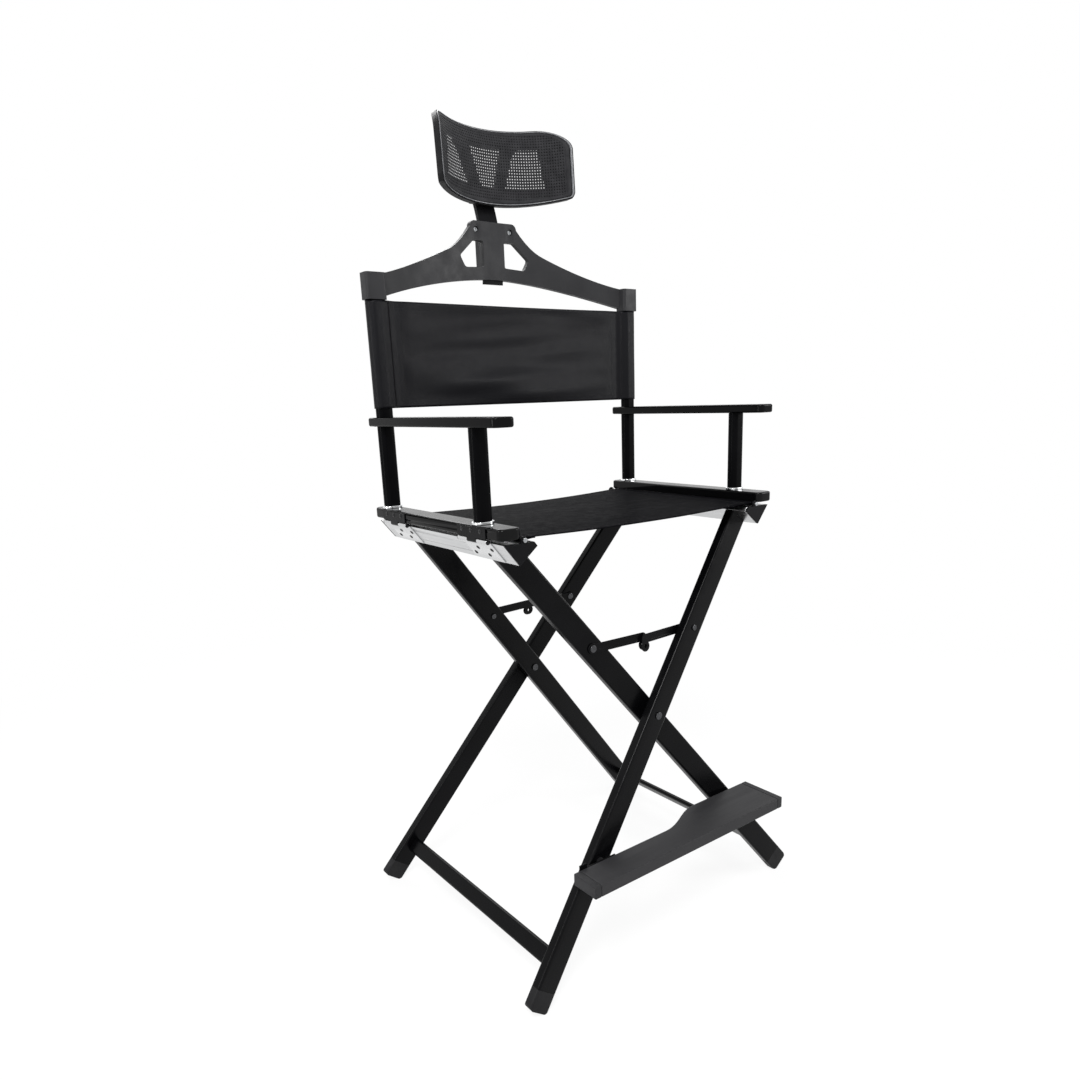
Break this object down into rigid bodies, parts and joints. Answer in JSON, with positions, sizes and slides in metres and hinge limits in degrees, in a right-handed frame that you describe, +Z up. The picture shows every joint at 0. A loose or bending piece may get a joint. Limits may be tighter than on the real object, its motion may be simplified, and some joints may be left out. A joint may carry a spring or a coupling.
{
  "type": "folding makeup chair",
  "caption": "Tall folding chair with crossed legs, slung seat and back, armrests, a swing-up footrest and a lift-off yoke that carries an adjustable curved net headrest.",
  "frame": {"origin": "on the floor, at the middle of the chair's overall width and depth", "axes": "+Z up from the floor, -Y the way the sitter looks, +X to the right of someone facing the chair"},
  "size_m": [0.6324, 0.5473, 1.3656],
  "materials": {
    "leg_tube": "black powder coat, satin",
    "post_tube": "black powder coat, satin",
    "bar_aluminium": "drawn aluminium, fine brushed",
    "silver_hinge": "bright brushed",
    "black_hinge": "black enamel, semi-gloss",
    "black_link": "black enamel, semi-gloss",
    "dark_screw": "blackened steel",
    "gloss_board": "black, glossy",
    "bright_flange": "bright",
    "black_plastic": "black, matt moulded",
    "dark_rivet": "blackened steel",
    "steel_fastener": "zinc plated",
    "seat_cloth": "black woven polyester",
    "back_cloth": "black woven polyester",
    "yoke_plastic": "dark grey, finely textured",
    "stem_plastic": "black, satin",
    "headrest_plastic": "black, satin",
    "net_cloth": "black knitted mesh",
    "piping": "light grey trim",
    "footrest_board": "black, low sheen grain"
  },
  "bodies": {
    "leg_frame_1": {"front_leg_a": "leg_tube", "rear_leg_c": "leg_tube", "top_bar_left": "bar_aluminium", "bar_end_caps_left": "black_plastic", "lower_stretcher_right": "leg_tube", "foot_caps_right": "black_plastic", "brace_bolts_left": "steel_fastener", "hinge_leaves_lower_left": "silver_hinge", "hinge_pins_left": "steel_fastener", "leaf_screws_left": "dark_screw", "sling_rod_left": "steel_fastener", "rod_screws_left": "steel_fastener", "seat_sling": "seat_cloth", "footrest_rest": "black_link"},
    "leg_frame_2": {"front_leg_b": "leg_tube", "rear_leg_d": "leg_tube", "top_bar_right": "bar_aluminium", "bar_end_caps_right": "black_plastic", "lower_stretcher_left": "leg_tube", "foot_caps_left": "black_plastic", "pivot_rivets": "dark_rivet", "pivot_spacers": "black_plastic", "brace_bolts_right": "steel_fastener", "hinge_leaves_lower_right": "silver_hinge", "hinge_pins_right": "steel_fastener", "leaf_screws_right": "dark_screw", "sling_rod_right": "steel_fastener", "rod_screws_right": "steel_fastener", "footrest_pivot_bolt": "steel_fastener"},
    "left_side": {"rail_left": "gloss_board", "post_flanges_left": "bright_flange", "front_post_left": "post_tube", "rear_post_left": "post_tube", "arm_left": "gloss_board", "hinge_leaves_upper_left": "black_hinge", "rail_screws_left": "dark_screw", "back_canvas": "back_cloth"},
    "right_side": {"rail_right": "gloss_board", "post_flanges_right": "bright_flange", "front_post_right": "post_tube", "rear_post_right": "post_tube", "arm_right": "gloss_board", "hinge_leaves_upper_right": "black_hinge", "rail_screws_right": "dark_screw"},
    "yoke": {"yoke": "yoke_plastic", "yoke_screws": "steel_fastener"},
    "stem": {"headrest_stem": "stem_plastic", "tilt_pin": "steel_fastener"},
    "headrest": {"headrest_frame": "headrest_plastic", "headrest_net": "net_cloth", "headrest_piping": "piping"},
    "footrest": {"footrest_board": "footrest_board", "board_end_caps": "black_plastic", "footrest_bracket": "black_link", "bracket_screws": "steel_fastener"},
    "front_link_a": {"brace_link_front_a": "black_link"},
    "front_link_b": {"brace_link_front_b": "black_link"},
    "rear_link_c": {"brace_link_rear_c": "black_link"},
    "rear_link_d": {"brace_link_rear_d": "black_link"}
  },
  "joints": [
    {"name": "fold", "type": "hinge", "parent": "leg_frame_1", "child": "leg_frame_2", "pos_m": [0, 0.0185, 0.39201], "axis": [0, -1, 0], "range_deg": [0, 66], "deforming": ["seat_sling", "back_canvas"]},
    {"name": "left_side_level", "type": "hinge", "parent": "leg_frame_1", "child": "left_side", "pos_m": [-0.2841, 0.024, 0.71309], "axis": [0, -1, 0], "range_deg": [0, 33]},
    {"name": "right_side_level", "type": "hinge", "parent": "leg_frame_2", "child": "right_side", "pos_m": [0.2841, 0.024, 0.71309], "axis": [0, 1, 0], "range_deg": [0, 33]},
    {"name": "front_link_a_turn", "type": "hinge", "parent": "leg_frame_1", "child": "front_link_a", "pos_m": [-0.10063, -0.12515, 0.51897], "axis": [-0.0676, -0.9941, 0.0853], "range_deg": [0, 121.64]},
    {"name": "front_link_b_turn", "type": "hinge", "parent": "leg_frame_2", "child": "front_link_b", "pos_m": [0.10063, -0.15126, 0.51897], "axis": [-0.0676, 0.9941, -0.0853], "range_deg": [0, 121.64]},
    {"name": "rear_link_c_turn", "type": "hinge", "parent": "leg_frame_1", "child": "rear_link_c", "pos_m": [-0.10063, 0.16215, 0.51897], "axis": [0.0676, -0.9941, -0.0853], "range_deg": [0, 121.64]},
    {"name": "rear_link_d_turn", "type": "hinge", "parent": "leg_frame_2", "child": "rear_link_d", "pos_m": [0.10063, 0.18826, 0.51897], "axis": [0.0676, 0.9941, 0.0853], "range_deg": [0, 121.64]},
    {"name": "yoke_lift", "type": "slide", "parent": "left_side", "child": "yoke", "axis": [0, 0, 1], "range_m": [0, 0.12]},
    {"name": "headrest_height", "type": "hinge", "parent": "yoke", "child": "stem", "pos_m": [0, 0.5335, 1.1387], "axis": [-1, 0, 0], "range_deg": [0, 9]},
    {"name": "headrest_tilt", "type": "hinge", "parent": "stem", "child": "headrest", "pos_m": [0, 0.27024, 1.25045], "axis": [-1, 0, 0], "range_deg": [-12, 25]},
    {"name": "footrest_fold", "type": "hinge", "parent": "leg_frame_2", "child": "footrest", "pos_m": [-0.15615, -0.2, 0.195], "axis": [0, -1, 0], "range_deg": [0, 51]}
  ],
  "couplings": [
    {"joint": "left_side_level", "follows": "fold", "ratio": 0.5},
    {"joint": "right_side_level", "follows": "fold", "ratio": 0.5},
    {"joint": "front_link_a_turn", "follows": "fold", "ratio": 1.8422},
    {"joint": "front_link_b_turn", "follows": "fold", "ratio": 1.8422},
    {"joint": "rear_link_c_turn", "follows": "fold", "ratio": 1.8422},
    {"joint": "rear_link_d_turn", "follows": "fold", "ratio": 1.8422}
  ]
}
